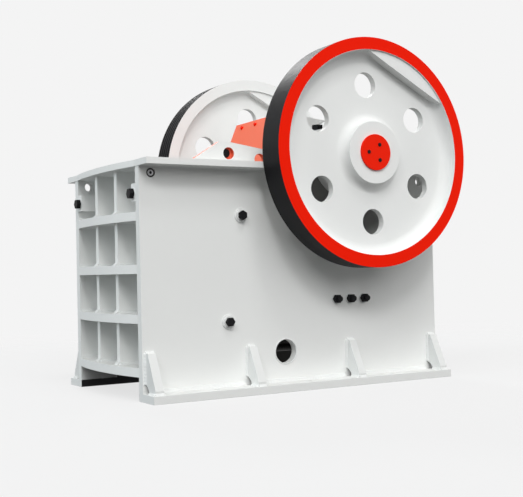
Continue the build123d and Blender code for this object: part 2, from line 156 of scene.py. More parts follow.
# Light and floor
studio = {"background": 0.905, "ambient": 0.30}
coolLight = (0.90, 1.0, 1.05)
suns = {"middleSun": {"strength": 1.17, "softness": 45.0, "from": (0.05, -0.86, 0.50)},
        "topSun": {"strength": 0.58, "softness": 12.0, "from": (0.0, -0.45, 0.90)},
        "nearSun": {"strength": 0.72, "softness": 12.0, "from": (-0.30, -0.70, 0.65)},
        "cornerSun": {"strength": 0.58, "softness": 15.0, "from": (-0.62, -0.50, 0.60)},
        "frontSun": {"strength": 0.58, "softness": 12.0, "from": (-0.93, -0.05, 0.36), "colour": coolLight},
        "jawSun": {"strength": 0.56, "softness": 20.0, "from": (-0.96, 0.12, 0.22), "colour": coolLight},
        "backSun": {"strength": 0.52, "softness": 12.0, "from": (0.12, 0.79, 0.60)},
        "leftSun": {"strength": 0.60, "softness": 40.0, "from": (0.45, 0.85, 0.25)},
        "rearSun": {"strength": 0.80, "softness": 40.0, "from": (0.99, 0.05, 0.12)}}


def seenDirectly(tree):
    # 1 for the camera and for what it sees mirrored or through glass
    path = addNode(tree, "LightPath").outputs
    seen = maths(tree, "ADD", path["Is Camera Ray"], path["Is Glossy Ray"])
    return maths(tree, "ADD", seen, path["Is Transmission Ray"], clamp=True)


def plainGlow(tree, kind, strength):
    glow = addNode(tree, kind)
    feedNamed(tree, glow, {"Color": (1, 1, 1), "Strength": strength})
    return glow.outputs[0]


def addWorld():
    world = bpy.data.worlds.new("studioWorld")
    bpy.context.scene.world = world
    world.use_nodes = True
    tree = world.node_tree
    tree.nodes.clear()
    sky = mixShaders(tree, seenDirectly(tree), plainGlow(tree, "Background", studio["ambient"]),
                     plainGlow(tree, "Background", studio["background"]))
    tree.links.new(sky, addNode(tree, "OutputWorld").inputs["Surface"])


def addSuns():
    for name, values in suns.items():
        sun = bpy.data.lights.new(name, "SUN")
        sun.energy = values["strength"]
        sun.color = values.get("colour", (1, 1, 1))
        sun.angle = math.radians(values["softness"])
        lamp = bpy.data.objects.new(name, sun)
        lamp.rotation_euler = Vector(values["from"]).to_track_quat("Z", "Y").to_euler()
        bpy.context.collection.objects.link(lamp)


# The floor lies just under the feet, and fades out far away
floor = {"size": 14.0, "gap": 0.0005, "fade": (4.0, 7.0), "pale": 0.80, "dark": 0.05, "lift": 0.80,
         "glow": 0.885}


def diffuse(tree, tone):
    node = addNode(tree, "BsdfDiffuse")
    feedNamed(tree, node, {"Color": (tone, tone, tone)})
    return node.outputs[0]


def floorMaterial():
    mat = bpy.data.materials.new("paleFloor")
    mat.use_nodes = True
    tree = mat.node_tree
    tree.nodes.clear()
    bounce = diffuse(tree, floor["dark"])    # what lights the machine from below
    pale = diffuse(tree, floor["pale"])      # what the eye sees, with its shadow
    lifted = mixShaders(tree, floor["lift"], pale, plainGlow(tree, "Emission", floor["glow"]))
    near = mixShaders(tree, seenDirectly(tree), bounce, lifted)
    length = addNode(tree, "VectorMath", operation="LENGTH")
    tree.links.new(addNode(tree, "TexCoord").outputs["Object"], length.inputs[0])
    low, high = floor["fade"]
    fade = addNode(tree, "MapRange")
    feedNamed(tree, fade, {"Value": length.outputs["Value"], "From Min": low, "From Max": high})
    clear = addNode(tree, "BsdfTransparent").outputs[0]
    whole = mixShaders(tree, fade.outputs["Result"], near, clear)
    tree.links.new(whole, addNode(tree, "OutputMaterial").inputs["Surface"])
    return mat


def addFloor():
    bm = bmesh.new()
    bmesh.ops.create_grid(bm, x_segments=1, y_segments=1, size=floor["size"],
                          matrix=Matrix.Translation((0, 0, -floor["gap"])))
    mesh = bpy.data.meshes.new("studioFloor")
    bm.to_mesh(mesh)
    bm.free()
    mesh.materials.append(floorMaterial())
    plane = bpy.data.objects.new("studioFloor", mesh)
    bpy.context.collection.objects.link(plane)


addCamera()
addWorld()
addSuns()
addFloor()
print("camera, light and floor are in place")


# Effects that several finishes share
def startGroup(name, inputs, outputs):
    # each input is its name, its kind and, where it has one, its usual value
    group = bpy.data.node_groups.new(name, "ShaderNodeTree")
    for label, kind, *usual in inputs:
        socket = group.interface.new_socket(name=label, in_out="INPUT", socket_type="NodeSocket" + kind)
        if usual:
            socket.default_value = usual[0]
    for label, kind in outputs:
        group.interface.new_socket(name=label, in_out="OUTPUT", socket_type="NodeSocket" + kind)
    return group, group.nodes.new("NodeGroupInput").outputs, group.nodes.new("NodeGroupOutput").inputs


# Wear starts above a noise level, "untouched" less the amount times "reach"
edgeWear = {"width": 0.003, "patches": 18.0, "samples": 4, "edge": (0.995, 0.86),
            "patch": {"detail": 5.0, "roughness": 0.65}, "untouched": 0.80, "reach": 0.45, "softness": 0.06}


def makeEdgeWear():
    # mask: 1 on worn outer edges, broken up by a patchy noise
    values = edgeWear
    group, given, result = startGroup(
        "edgeWear", (("Vector", "Vector"), ("Width", "Float", values["width"]),
                     ("Patches", "Float", values["patches"]), ("Amount", "Float")), (("Mask", "Float"),))
    bevel = addNode(group, "Bevel", samples=values["samples"])
    group.links.new(given["Width"], bevel.inputs["Radius"])
    dot = addNode(group, "VectorMath", operation="DOT_PRODUCT")
    group.links.new(bevel.outputs[0], dot.inputs[0])
    group.links.new(addNode(group, "NewGeometry").outputs["True Normal"], dot.inputs[1])
    edge = spread(group, dot.outputs["Value"], *values["edge"])
    patch = noise(group, given["Vector"], given["Patches"], **values["patch"])
    lowered = maths(group, "MULTIPLY", given["Amount"], values["reach"])
    start = maths(group, "SUBTRACT", values["untouched"], lowered)
    kept = spread(group, patch, start, maths(group, "ADD", start, values["softness"]))
    group.links.new(allOf(group, edge, kept), result["Mask"])
    return group


paintSkin = {"tone": 0.05, "peel": 260.0, "gloss": 0.42, "slow": {"scale": 1.7, "detail": 2.0},
             "middle": {"scale": 21.0, "detail": 4.0}, "peelDetail": 2.0, "slowPart": 0.7, "noiseMiddle": 0.5,
             "uneven": 0.12, "bump": 0.25, "depth": 0.0006}


def makePaintSkin():
    # sprayed paint: a slow change of tone, an uneven gloss and a fine orange peel
    values = paintSkin
    group, given, result = startGroup(
        "paintSkin", (("Vector", "Vector"), ("Colour", "Color"), ("Tone", "Float", values["tone"]),
                      ("Peel", "Float", values["peel"]), ("Gloss", "Float", values["gloss"])),
        (("Colour", "Color"), ("Roughness", "Float"), ("Height", "Float")))
    slow = noise(group, given["Vector"], **values["slow"])
    middle = noise(group, given["Vector"], **values["middle"])
    both = weighted(group, slow, middle, values["slowPart"])
    shift = maths(group, "MULTIPLY", maths(group, "SUBTRACT", both, values["noiseMiddle"]), given["Tone"])
    hue = addNode(group, "HueSaturation")
    feedNamed(group, hue, {"Value": maths(group, "ADD", shift, 1.0), "Color": given["Colour"]})
    uneven = maths(group, "MULTIPLY", middle, values["uneven"])
    group.links.new(hue.outputs[0], result["Colour"])
    group.links.new(maths(group, "ADD", given["Gloss"], uneven), result["Roughness"])
    group.links.new(noise(group, given["Vector"], given["Peel"], values["peelDetail"]), result["Height"])
    return group


dustFilm = {"colour": (0.52, 0.49, 0.44), "upward": (0.35, 0.95), "patchy": (0.35, 0.75), "dull": 0.4,
            "patch": {"scale": 6.0, "detail": 6.0, "roughness": 0.6}}


def makeDustFilm():
    # mask: thin dust that settles on faces turned up, thicker in patches
    values = dustFilm
    group, given, result = startGroup(
        "dustFilm", (("Vector", "Vector"), ("Normal", "Vector"), ("Amount", "Float")), (("Mask", "Float"),))
    upward = spread(group, separate(group, given["Normal"])["Z"], *values["upward"])
    patch = spread(group, noise(group, given["Vector"], **values["patch"]), *values["patchy"])
    group.links.new(allOf(group, upward, patch, given["Amount"]), result["Mask"])
    return group


castGrain = {"broad": {"scale": 5.0, "detail": 6.0, "roughness": 0.6}, "broadPart": 0.6,
             "fine": {"detail": 5.0, "roughness": 0.6}, "tone": (0.36, 0.64), "gloss": (0.3, 0.7, 0.42, 0.62)}


def makeCastGrain():
    # cast or rolled steel: dark and light patches, and a fine grain in gloss and height
    values = castGrain
    group, given, result = startGroup(
        "castGrain", (("Vector", "Vector"), ("Dark", "Color"), ("Light", "Color"), ("Grain", "Float")),
        (("Colour", "Color"), ("Roughness", "Float"), ("Height", "Float")))
    broad = noise(group, given["Vector"], **values["broad"])
    fine = noise(group, given["Vector"], given["Grain"], **values["fine"])
    tone = spread(group, weighted(group, broad, fine, values["broadPart"]), *values["tone"])
    group.links.new(blendColour(group, tone, given["Dark"], given["Light"]), result["Colour"])
    group.links.new(spread(group, fine, *values["gloss"]), result["Roughness"])
    group.links.new(fine, result["Height"])
    return group


groups = {"edgeWear": makeEdgeWear(), "paintSkin": makePaintSkin(), "dustFilm": makeDustFilm(),
          "castGrain": makeCastGrain()}
print("shared surface effects are ready")


# Finishes
def startMaterial(name):
    mat = bpy.data.materials.new(name)
    mat.use_nodes = True
    tree = mat.node_tree
    place = addNode(tree, "TexCoord").outputs
    return mat, tree, tree.nodes["Principled BSDF"], place["Object"], place["Normal"]


def useGroup(tree, name, **values):
    node = addNode(tree, "Group", node_tree=groups[name])
    feedNamed(tree, node, values)
    return node.outputs


def addBump(tree, shader, height, strength, depth):
    bump = addNode(tree, "Bump")
    feedNamed(tree, bump, {"Strength": strength, "Distance": depth, "Height": height})
    tree.links.new(bump.outputs[0], shader.inputs["Normal"])


def addWear(tree, place, colour, values, bare):
    # the bare colour shows where the edges are worn
    wear = useGroup(tree, "edgeWear", Vector=place, Amount=values["wear"],
                    Width=values.get("width", edgeWear["width"]))
    return blendColour(tree, wear["Mask"], colour, bare)


def sprayPaint(tree, shader, place, normal, colour, values):
    # paint over one colour or a map of colours, worn at the edges and, where it has dust, dusty on top
    skin = useGroup(tree, "paintSkin", Vector=place, Colour=colour, Gloss=values["gloss"])
    surface = addWear(tree, place, skin["Colour"], values, values["worn"])
    roughness = skin["Roughness"]
    if "dust" in values:
        dust = useGroup(tree, "dustFilm", Vector=place, Normal=normal, Amount=values["dust"])["Mask"]
        surface = blendColour(tree, dust, surface, dustFilm["colour"])
        dull = maths(tree, "MULTIPLY", dust, values.get("dull", dustFilm["dull"]))
        roughness = maths(tree, "ADD", roughness, dull)
    feedNamed(tree, shader, {"Base Color": surface, "Roughness": roughness,
                             "Specular IOR Level": values["specular"]})
    addBump(tree, shader, skin["Height"], values.get("bump", paintSkin["bump"]), paintSkin["depth"])


paints = {
    "framePaint": {"colour": (0.765, 0.775, 0.762), "worn": (0.45, 0.44, 0.42), "dust": 0.25, "wear": 0.35,
                   "gloss": 0.44, "specular": 0.35},
    "beadPaint": {"colour": (0.690, 0.702, 0.692), "worn": (0.45, 0.44, 0.42), "dust": 0.1, "wear": 0.1,
                  "gloss": 0.40, "specular": 0.4},
    "capPaint": {"colour": (0.850, 0.014, 0.001), "worn": (0.30, 0.05, 0.03), "dust": 0.1, "wear": 0.3,
                 "gloss": 0.35, "specular": 0.08},
    # on the hood the wear band of deeper orange runs wide along the edges: partly wear, partly painted edge
    # shading
    "hoodPaint": {"colour": (0.860, 0.155, 0.076), "worn": (0.85, 0.07, 0.012), "dust": 0.1, "wear": 1.0,
                  "width": 0.010, "gloss": 0.40, "specular": 0.35}}


def paintedMaterial(name):
    mat, tree, shader, place, normal = startMaterial(name)
    sprayPaint(tree, shader, place, normal, paints[name]["colour"], paints[name])
    return mat


# The wheels: red outer ring, black tread, white web and hub
wheelFinish = {"white": (0.790, 0.801, 0.790), "red": (0.870, 0.012, 0.001), "black": (0.004, 0.004, 0.005),
               "worn": (0.35, 0.34, 0.33), "wear": 0.3, "gloss": 0.36, "specular": 0.05, "bump": 0.2,
               "ringFrom": 0.6925, "ringFacing": 0.6, "treadFrom": 0.735, "treadFacing": 0.97,
               "treadCoat": 0.16, "coatRoughness": 0.46}


def shaftRadius(tree, place):
    # how far a point lies from the shaft's axis
    centred = addNode(tree, "Mapping")
    centred.inputs["Location"].default_value = (-shaftX, 0, -shaftZ)
    tree.links.new(place, centred.inputs["Vector"])
    parts = separate(tree, centred.outputs[0])
    squares = maths(tree, "ADD", maths(tree, "POWER", parts["X"], 2.0), maths(tree, "POWER", parts["Z"], 2.0))
    return maths(tree, "POWER", squares, 0.5)


def wheelMaterial(name, side):
    values = wheelFinish
    mat, tree, shader, place, normal = startMaterial(name)
    radius = shaftRadius(tree, place)
    outward = maths(tree, "MULTIPLY", separate(tree, normal)["Y"], side)
    isRing = allOf(tree, maths(tree, "GREATER_THAN", radius, values["ringFrom"]),
                   maths(tree, "GREATER_THAN", outward, values["ringFacing"]))
    isTread = allOf(tree, maths(tree, "GREATER_THAN", radius, values["treadFrom"]),
                    maths(tree, "LESS_THAN", maths(tree, "ABSOLUTE", outward), values["treadFacing"]))
    ringed = blendColour(tree, isRing, values["white"], values["red"])
    sprayPaint(tree, shader, place, normal, blendColour(tree, isTread, ringed, values["black"]), values)
    feedNamed(tree, shader, {"Coat Weight": maths(tree, "MULTIPLY", isTread, values["treadCoat"]),
                             "Coat Roughness": values["coatRoughness"]})
    return mat


# Feed guards: white faces, orange on the flame-cut edges and in the holes
guardFinish = {"face": paints["framePaint"]["colour"], "cut": paints["hoodPaint"]["colour"],
               "worn": paints["framePaint"]["worn"], "wear": 0.3, "gloss": 0.42, "specular": 0.35,
               "facing": 0.5}


def guardMaterial():
    values = guardFinish
    mat, tree, shader, place, normal = startMaterial("guardPlatePaint")
    across = maths(tree, "ABSOLUTE", separate(tree, normal)["Y"])
    isCut = maths(tree, "LESS_THAN", across, values["facing"])
    sprayPaint(tree, shader, place, normal, blendColour(tree, isCut, values["face"], values["cut"]), values)
    return mat


# Frame paint with a second, dark colour in hidden places, painted in as shade where little light reaches; a
# factor below 1 darkens the whole paint as painted shade
shadedPaintBase = {**paints["framePaint"], "specular": 0.15, "dull": 0.0}
# Dark colours painted in as shade, and how far they reach
paintedShade = {"footShade": (0.012, 0.012, 0.013), "inside": (0.060, 0.058, 0.054), "rathole": (0.020, 0.020, 0.020),
         "margin": 0.0008, "under": 0.0006, "ratholeReach": 0.0525, "facing": 0.5, "gussetShadeFactor": 0.90,
         "pitmanShadeEdge": (1.35, 1.15), "patches": 0.12, "patch": {"scale": 7.0, "detail": 5.0},
         "wheelShadeEdge": (0.60, 0.50), "wheelShade": 0.66}


def shadedPaintMaterial(name, makeMask, shadeColour, shade=1.0):
    unshaded = tuple(channel * shade for channel in shadedPaintBase["colour"])
    mat, tree, shader, place, normal = startMaterial(name)
    mask = makeMask(tree, separate(tree, place), separate(tree, normal), place)
    sprayPaint(tree, shader, place, normal, blendColour(tree, mask, unshaded, shadeColour), shadedPaintBase)
    return mat


def isWithin(tree, parts, half):
    # 1 up to a distance from the machine's middle plane
    return maths(tree, "LESS_THAN", maths(tree, "ABSOLUTE", parts["Y"]), half)


def footShadeMask(tree, parts, faceParts, place):
    # painted shade: the inner side and the underneath of the base flanges, in near black
    under = maths(tree, "LESS_THAN", parts["Z"], paintedShade["under"])
    return maths(tree, "MAXIMUM", isWithin(tree, parts, plateInner + paintedShade["margin"]), under)


def plateShadeMask(tree, parts, faceParts, place):
    # painted shade: the side plates' inner faces between the walls, and a dark ring painted on the plate
    # around the shaft behind each wheel
    inside = allOf(tree, isWithin(tree, parts, plateInner + paintedShade["margin"]),
                   maths(tree, "GREATER_THAN", parts["X"], frontWallInner),
                   maths(tree, "LESS_THAN", parts["X"], rearWallInner))
    wheelShade = spread(tree, shaftRadius(tree, place), *paintedShade["wheelShadeEdge"], 0.0, paintedShade["wheelShade"])
    return maths(tree, "MAXIMUM", inside, wheelShade)


def ratholeShadeMask(tree, parts, faceParts, place):
    # painted shade: the cut-away corners of the gussets, in near black
    low = maths(tree, "LESS_THAN", parts["Z"], footTop + paintedShade["ratholeReach"])
    cut = maths(tree, "LESS_THAN", maths(tree, "ABSOLUTE", faceParts["X"]), paintedShade["facing"])
    return allOf(tree, isWithin(tree, parts, plateOuter + paintedShade["ratholeReach"]), low, cut)


def pitmanShadeMask(tree, parts, faceParts, place):
    # painted shade: the pitman darker below the barrel, with a patchy upper edge
    patch = maths(tree, "MULTIPLY", noise(tree, place, **paintedShade["patch"]), paintedShade["patches"])
    return spread(tree, maths(tree, "ADD", parts["Z"], patch), *paintedShade["pitmanShadeEdge"])


metals = {
    "manganeseSteel": {"dark": (0.10, 0.095, 0.09), "light": (0.22, 0.21, 0.20), "grain": 120.0, "bump": 0.5,
                       "depth": 0.0015, "metallic": 0.75, "bright": (0.50, 0.49, 0.47), "wear": 0.9,
                       "width": 0.006, "specular": 0.3},
    "machinedSteel": {"dark": (0.24, 0.24, 0.25), "light": (0.42, 0.42, 0.43), "grain": 320.0, "bump": 0.2,
                      "depth": 0.0004, "metallic": 0.95, "bright": (0.62, 0.61, 0.60), "wear": 0.6,
                      "width": 0.002, "specular": 0.3},
    "oiledSteel": {"dark": (0.020, 0.019, 0.018), "light": (0.060, 0.058, 0.055), "grain": 160.0, "bump": 0.2,
                   "depth": 0.0004, "metallic": 0.4, "bright": (0.25, 0.24, 0.23), "wear": 0.3,
                   "width": 0.002, "specular": 0.3},
    "blackBolt": {"dark": (0.004, 0.004, 0.005), "light": (0.010, 0.010, 0.011), "grain": 400.0, "bump": 0.2,
                  "depth": 0.0003, "metallic": 0.0, "bright": (0.10, 0.10, 0.10), "wear": 0.15,
                  "width": 0.0012, "specular": 0.10}}


def metalMaterial(name):
    values = metals[name]
    mat, tree, shader, place, normal = startMaterial(name)
    grain = useGroup(tree, "castGrain", Vector=place, Dark=values["dark"], Light=values["light"],
                     Grain=values["grain"])
    feedNamed(tree, shader, {"Base Color": addWear(tree, place, grain["Colour"], values, values["bright"]),
                             "Roughness": grain["Roughness"], "Metallic": values["metallic"],
                             "Specular IOR Level": values["specular"]})
    addBump(tree, shader, grain["Height"], values["bump"], values["depth"])
    return mat


finish = {name: paintedMaterial(name) for name in paints}
finish.update({name: metalMaterial(name) for name in metals})
finish["wheelRight"] = wheelMaterial("wheelPaintRight", -1)
finish["wheelLeft"] = wheelMaterial("wheelPaintLeft", 1)
finish["guardPlate"] = guardMaterial()
finish["footShadedPaint"] = shadedPaintMaterial("footShadedPaint", footShadeMask, paintedShade["footShade"])
finish["plateShadedPaint"] = shadedPaintMaterial("plateShadedPaint", plateShadeMask, paintedShade["inside"])
# the gussets' paint is also darkened all over, as painted shade
finish["gussetShadedPaint"] = shadedPaintMaterial("gussetShadedPaint", ratholeShadeMask, paintedShade["rathole"], paintedShade["gussetShadeFactor"])
finish["pitmanShadedPaint"] = shadedPaintMaterial("pitmanShadedPaint", pitmanShadeMask, paintedShade["inside"])

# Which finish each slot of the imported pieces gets, and the nodes that get one of their own
slotFinish = {"white_paint": "framePaint", "pitman_paint": "framePaint", "red_paint": "capPaint",
              "guard_paint": "hoodPaint", "manganese_steel": "manganeseSteel",
              "machined_steel": "machinedSteel"}
nodeFinish = {"flywheel_right": "wheelRight", "flywheel_left": "wheelLeft", "pitman": "pitmanShadedPaint",
              "feed_guard_right": "guardPlate", "feed_guard_left": "guardPlate",
              "base_flange_right": "footShadedPaint", "base_flange_left": "footShadedPaint",
              "side_plate_right": "plateShadedPaint", "side_plate_left": "plateShadedPaint",
              "gussets_right": "gussetShadedPaint", "gussets_left": "gussetShadedPaint",
              "tension_rod": "oiledSteel", "tension_pin": "oiledSteel"}


def dressFrame():
    for name, obj in nodes.items():
        for place in obj.material_slots:
            chosen = nodeFinish.get(name) or slotFinish[place.material.name.split(".")[0]]
            place.material = finish[chosen]


dressFrame()
print("the packed pieces have their finishes")

# Small solids that the pieces below are put together from; overlap is how far each sinks into the last
solid = {"bevelSteps": 2, "smoothFrom": 9, "sideways": 0.5, "level": 1e-7, "overlap": 0.001}


def addRound(bm, place, axis, radius, low, high, sides, edge, turned=0.0, look=0):
    # a bar or plate of any number of sides along an axis, from low to high, with its rims bevelled
    before = set(bm.faces)
    made = bmesh.ops.create_cone(bm, cap_ends=True, segments=sides, radius1=radius, radius2=radius,
                                 depth=high - low)
    fresh = set(made["verts"])
    rims = [e for e in bm.edges if e.verts[0] in fresh
            and abs(e.verts[0].co.z - e.verts[1].co.z) < solid["level"]]
    bmesh.ops.bevel(bm, geom=rims, offset=edge, affect="EDGES", segments=solid["bevelSteps"], profile=0.5,
                    material=-1)
    added = [f for f in bm.faces if f not in before]
    aim = Vector(axis).to_track_quat("Z", "Y").to_matrix().to_4x4()
    shape = Matrix.Translation(place) @ aim @ Matrix.Rotation(math.radians(turned), 4, "Z")
    bmesh.ops.transform(bm, matrix=shape @ Matrix.Translation((0, 0, (low + high) / 2)),
                        verts=list({v for f in added for v in f.verts}))
    for f in added:
        f.material_index = look
        isSide = abs(f.normal.dot(Vector(axis).normalized())) < solid["sideways"]
        f.smooth = sides >= solid["smoothFrom"] and isSide


boltShape = {"baseSides": 40, "baseEdge": 0.003, "washerSides": 32, "washerEdge": 0.0012, "headSides": 6,
             "headChamfer": 0.045, "tailSides": 20, "tailChamfer": 0.12}


def boltLayers(values):
    # radius, thickness, sides, edge and finish of a pad, a washer, a hexagon and the end of the thread
    shape = boltShape
    corner = values["flats"] / math.sqrt(3)
    if "base" in values:
        yield values["base"], values["baseThick"], shape["baseSides"], shape["baseEdge"], 1
    if "washer" in values:
        yield values["washer"], values["washerThick"], shape["washerSides"], shape["washerEdge"], 1
    yield corner, values["head"], shape["headSides"], values["flats"] * shape["headChamfer"], 0
    if "shank" in values:
        yield values["shank"], values["tail"], shape["tailSides"], values["shank"] * shape["tailChamfer"], 0


def addBolt(bm, place, axis, values):
    # its layers stand on each other, from the plate outwards, and its turn shows on the hexagon alone
    level = 0.0
    for radius, thick, sides, edge, look in boltLayers(values):
        turned = values.get("turn", 0) if sides == boltShape["headSides"] else 0
        addRound(bm, place, axis, radius, level - solid["overlap"], level + thick, sides, edge, turned, look)
        level += thick


def sweep(bm, geom, centre, axis, angle, steps, travel=(0, 0, 0), merge=False):
    bmesh.ops.spin(bm, geom=geom, cent=centre, axis=axis, dvec=travel, angle=math.radians(angle), steps=steps,
                   use_merge=merge, use_normal_flip=False, use_duplicate=False)


def pointOutwards(bm, smooth=False):
    bmesh.ops.recalc_face_normals(bm, faces=bm.faces)
    if smooth:
        for f in bm.faces:
            f.smooth = True


def finishPiece(name, bm, body, slotName, *looks):
    mesh = bpy.data.meshes.new(name)
    bm.to_mesh(mesh)
    bm.free()
    for look in looks:
        mesh.materials.append(finish[look])
    piece = bpy.data.objects.new(name, mesh)
    bpy.context.collection.objects.link(piece)
    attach(piece, body)
    return piece


# Black bolts through the side plates: four hold the cheek plates, six the toggle beam
cheekBolt = {"places": ((-0.4325, 1.162), (-0.5425, 0.469)), "turns": (0, 30), "flats": 0.054, "head": 0.024,
             "base": 0.048, "baseThick": 0.008, "washer": 0.038, "washerThick": 0.008}
beamBolt = {"places": ((shaftX - 0.117, 0.589), (shaftX, 0.589), (shaftX + 0.117, 0.589)),
            "turns": (30, 30, 30), "flats": 0.055, "head": 0.031, "washer": 0.036, "washerThick": 0.006,
            "tail": 0.022, "shank": 0.020}


def addSideBolts():
    for side, sign in bothSides:
        for name, values in (("cheekBolts", cheekBolt), ("beamBolts", beamBolt)):
            bm = bmesh.new()
            for (x, z), turn in zip(values["places"], values["turns"]):
                addBolt(bm, (x, sign * plateOuter, z), (0, sign, 0), {**values, "turn": turn})
            finishPiece(name + side, bm, "frame", "machined_steel", "blackBolt", "beadPaint")


# Bolts that hold the clamp blocks on the front
clampBolt = {"height": 1.298, "fromMiddle": 0.473, "flats": 0.060, "head": 0.030, "washer": 0.036,
             "washerThick": 0.004, "turn": 30}


def addClampBolts():
    bm = bmesh.new()
    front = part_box("clamp_block_right")[0].x
    for sign in (-1, 1):
        place = (front, sign * clampBolt["fromMiddle"], clampBolt["height"])
        addBolt(bm, place, (-1, 0, 0), clampBolt)
    finishPiece("clampBolts", bm, "frame", "machined_steel", "blackBolt", "beadPaint")


# Bolts on the shaft caps, which turn with the shaft
capBolt = {"ring": 0.060, "angles": (60, 180, 300), "flats": 0.024, "head": 0.005}


def addBoltRing(bm, face, out, values):
    # bolts on a circle around the shaft
    for angle in values["angles"]:
        turn = math.radians(angle)
        place = (shaftX + values["ring"] * math.cos(turn), face, shaftZ + values["ring"] * math.sin(turn))
        addBolt(bm, place, (0, out, 0), values)


def addCapBolts():
    for side, sign in bothSides:
        bm = bmesh.new()
        addBoltRing(bm, sign * capFace, sign, capBolt)
        finishPiece("capBolts" + side, bm, "rotor", "machined_steel", "blackBolt")


# Nuts on the bearing caps and feet, and bolts around the bearing covers
capNut = {"fromShaft": 0.250, "rows": (0.0,), "level": 1.745, "flats": 0.070, "head": 0.040,
          "washer": 0.042, "washerThick": 0.004, "turn": 30}
footNut = {"fromShaft": 0.333, "rows": (-0.070, 0.070), "level": 1.551, "flats": 0.055, "head": 0.026,
           "washer": 0.033, "washerThick": 0.004, "tail": 0.014, "shank": 0.017}
coverBolt = {"ring": 0.198, "angles": [22.5 + 45.0 * step for step in range(8)], "flats": 0.026,
             "head": 0.011}


def addBearingBolts():
    for side, sign in bothSides:
        low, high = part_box("bearing_cap_" + side.lower())
        middle = (low.y + high.y) / 2
        bm = bmesh.new()
        for values in (capNut, footNut):
            for across in (-1, 1):
                for row in values["rows"]:
                    place = (shaftX + across * values["fromShaft"], middle + row, values["level"])
                    addBolt(bm, place, (0, 0, 1), values)
        finishPiece("bearingNuts" + side, bm, "frame", "machined_steel", "blackBolt", "beadPaint")
        bm = bmesh.new()
        for face, out in ((low.y, -1), (high.y, 1)):
            addBoltRing(bm, face, out, coverBolt)
        finishPiece("coverBolts" + side, bm, "frame", "machined_steel", "blackBolt")


# Small bolts along the top of the swing jaw's hood, which leans back from its foot
hoodBolt = {"rows": (-0.295, -0.098, 0.098, 0.295), "height": 1.884, "lean": 23.0, "flats": 0.024,
            "head": 0.010, "washer": 0.015, "washerThick": 0.003}


def addHoodBolts():
    low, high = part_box("pitman_guard")
    lean = math.radians(hoodBolt["lean"])
    slope = math.tan(lean)
    thick = (high.x - low.x - (high.z - low.z) * slope) / (math.cos(lean) + math.sin(lean) * slope)
    footZ = low.z + abs(thick) * math.sin(lean)
    x = low.x + (hoodBolt["height"] - footZ) * slope
    bm = bmesh.new()
    for y in hoodBolt["rows"]:
        addBolt(bm, (x, y, hoodBolt["height"]), (-math.cos(lean), 0, math.sin(lean)), hoodBolt)
    finishPiece("hoodBolts", bm, "swing_jaw", "guard_paint", "capPaint", "capPaint")


addSideBolts()
addClampBolts()
addCapBolts()
addBearingBolts()
addHoodBolts()
print("bolts are on")

# An orange disc with a black knob set toward the front, at the inner end of the front hole of each feed guard
holePlug = {"place": (-0.5045, 1.573), "radius": 0.0395, "recess": 0.001, "thick": 0.010, "sides": 40,
            "knob": 0.029, "knobThick": 0.012, "knobSides": 32, "aside": 0.0095, "edge": 0.002}


def addHolePlugs():
    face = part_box("feed_guard_left")[0].y
    x, z = holePlug["place"]
    thick, edge = holePlug["thick"], holePlug["edge"]
    for side, sign in bothSides:
        bm = bmesh.new()
        addRound(bm, (x, sign * face, z), (0, sign, 0), holePlug["radius"], holePlug["recess"], thick,
                 holePlug["sides"], edge, look=1)
        addRound(bm, (x - holePlug["aside"], sign * face, z), (0, sign, 0), holePlug["knob"],
                 thick - solid["overlap"], thick + holePlug["knobThick"], holePlug["knobSides"], edge)
        finishPiece("guardPlug" + side, bm, "frame", "machined_steel", "blackBolt", "hoodPaint")


# A dark plug with a ring and a six-sided key, in the right plate's front lifting hole, from the plate's face
liftPlug = {"fromFront": 0.082, "belowTop": 0.042,
            "disc": {"radius": 0.0295, "low": -0.030, "high": -0.004, "sides": 40, "edge": 0.002, "look": 1},
            "ring": {"radius": 0.019, "low": -0.005, "high": -0.001, "sides": 32, "edge": 0.001, "look": 2},
            "key": {"radius": 0.010, "low": -0.002, "high": 0.002, "sides": 6, "edge": 0.001, "look": 0}}


def addLiftPlug():
    bm = bmesh.new()
    place = (sideLow.x + liftPlug["fromFront"], -plateOuter, sideHigh.z - liftPlug["belowTop"])
    for part in ("disc", "ring", "key"):
        addRound(bm, place, (0, -1, 0), **liftPlug[part])
    finishPiece("liftPlug", bm, "frame", "machined_steel", "blackBolt", "oiledSteel", "machinedSteel")


# A rounded collar welded around the access hole in each side plate
collar = {"fromFront": 1.047, "height": 0.251, "radius": 0.084, "section": 0.0045, "sides": 10, "steps": 72,
          "seam": 1e-6}


def addCollars():
    x, z = sideLow.x + collar["fromFront"], collar["height"]
    for side, sign in bothSides:
        bm = bmesh.new()
        ring = bmesh.ops.create_circle(bm, cap_ends=False, segments=collar["sides"], radius=collar["section"])
        shift = Matrix.Translation((x + collar["radius"], sign * plateOuter, z))
        bmesh.ops.transform(bm, matrix=shift, verts=ring["verts"])
        sweep(bm, bm.edges[:], (x, 0, z), (0, 1, 0), 360, collar["steps"], merge=True)
        bmesh.ops.remove_doubles(bm, verts=bm.verts, dist=collar["seam"])
        pointOutwards(bm, smooth=True)
        finishPiece("accessCollar" + side, bm, "frame", "white_paint", "beadPaint")


addHolePlugs()
addLiftPlug()
addCollars()
print("plugs and collars are in")

# Welds: a rounded fillet run along each joint, with ripples across it
weld = {"foot": 0.023, "gusset": 0.014, "flange": 0.012, "step": 0.007, "gap": 0.026, "sunk": 0.002,
        "throat": 0.84, "arc": (30, 60), "ripple": 0.035, "fineWave": 285.0, "slowWave": 97.0,
        "slowPart": 0.5, "slowStart": 2.0}


def ripple(travel):
    waves = math.sin(travel * weld["fineWave"])
    waves += weld["slowPart"] * math.sin(travel * weld["slowWave"] + weld["slowStart"])
    return 1 + weld["ripple"] * waves


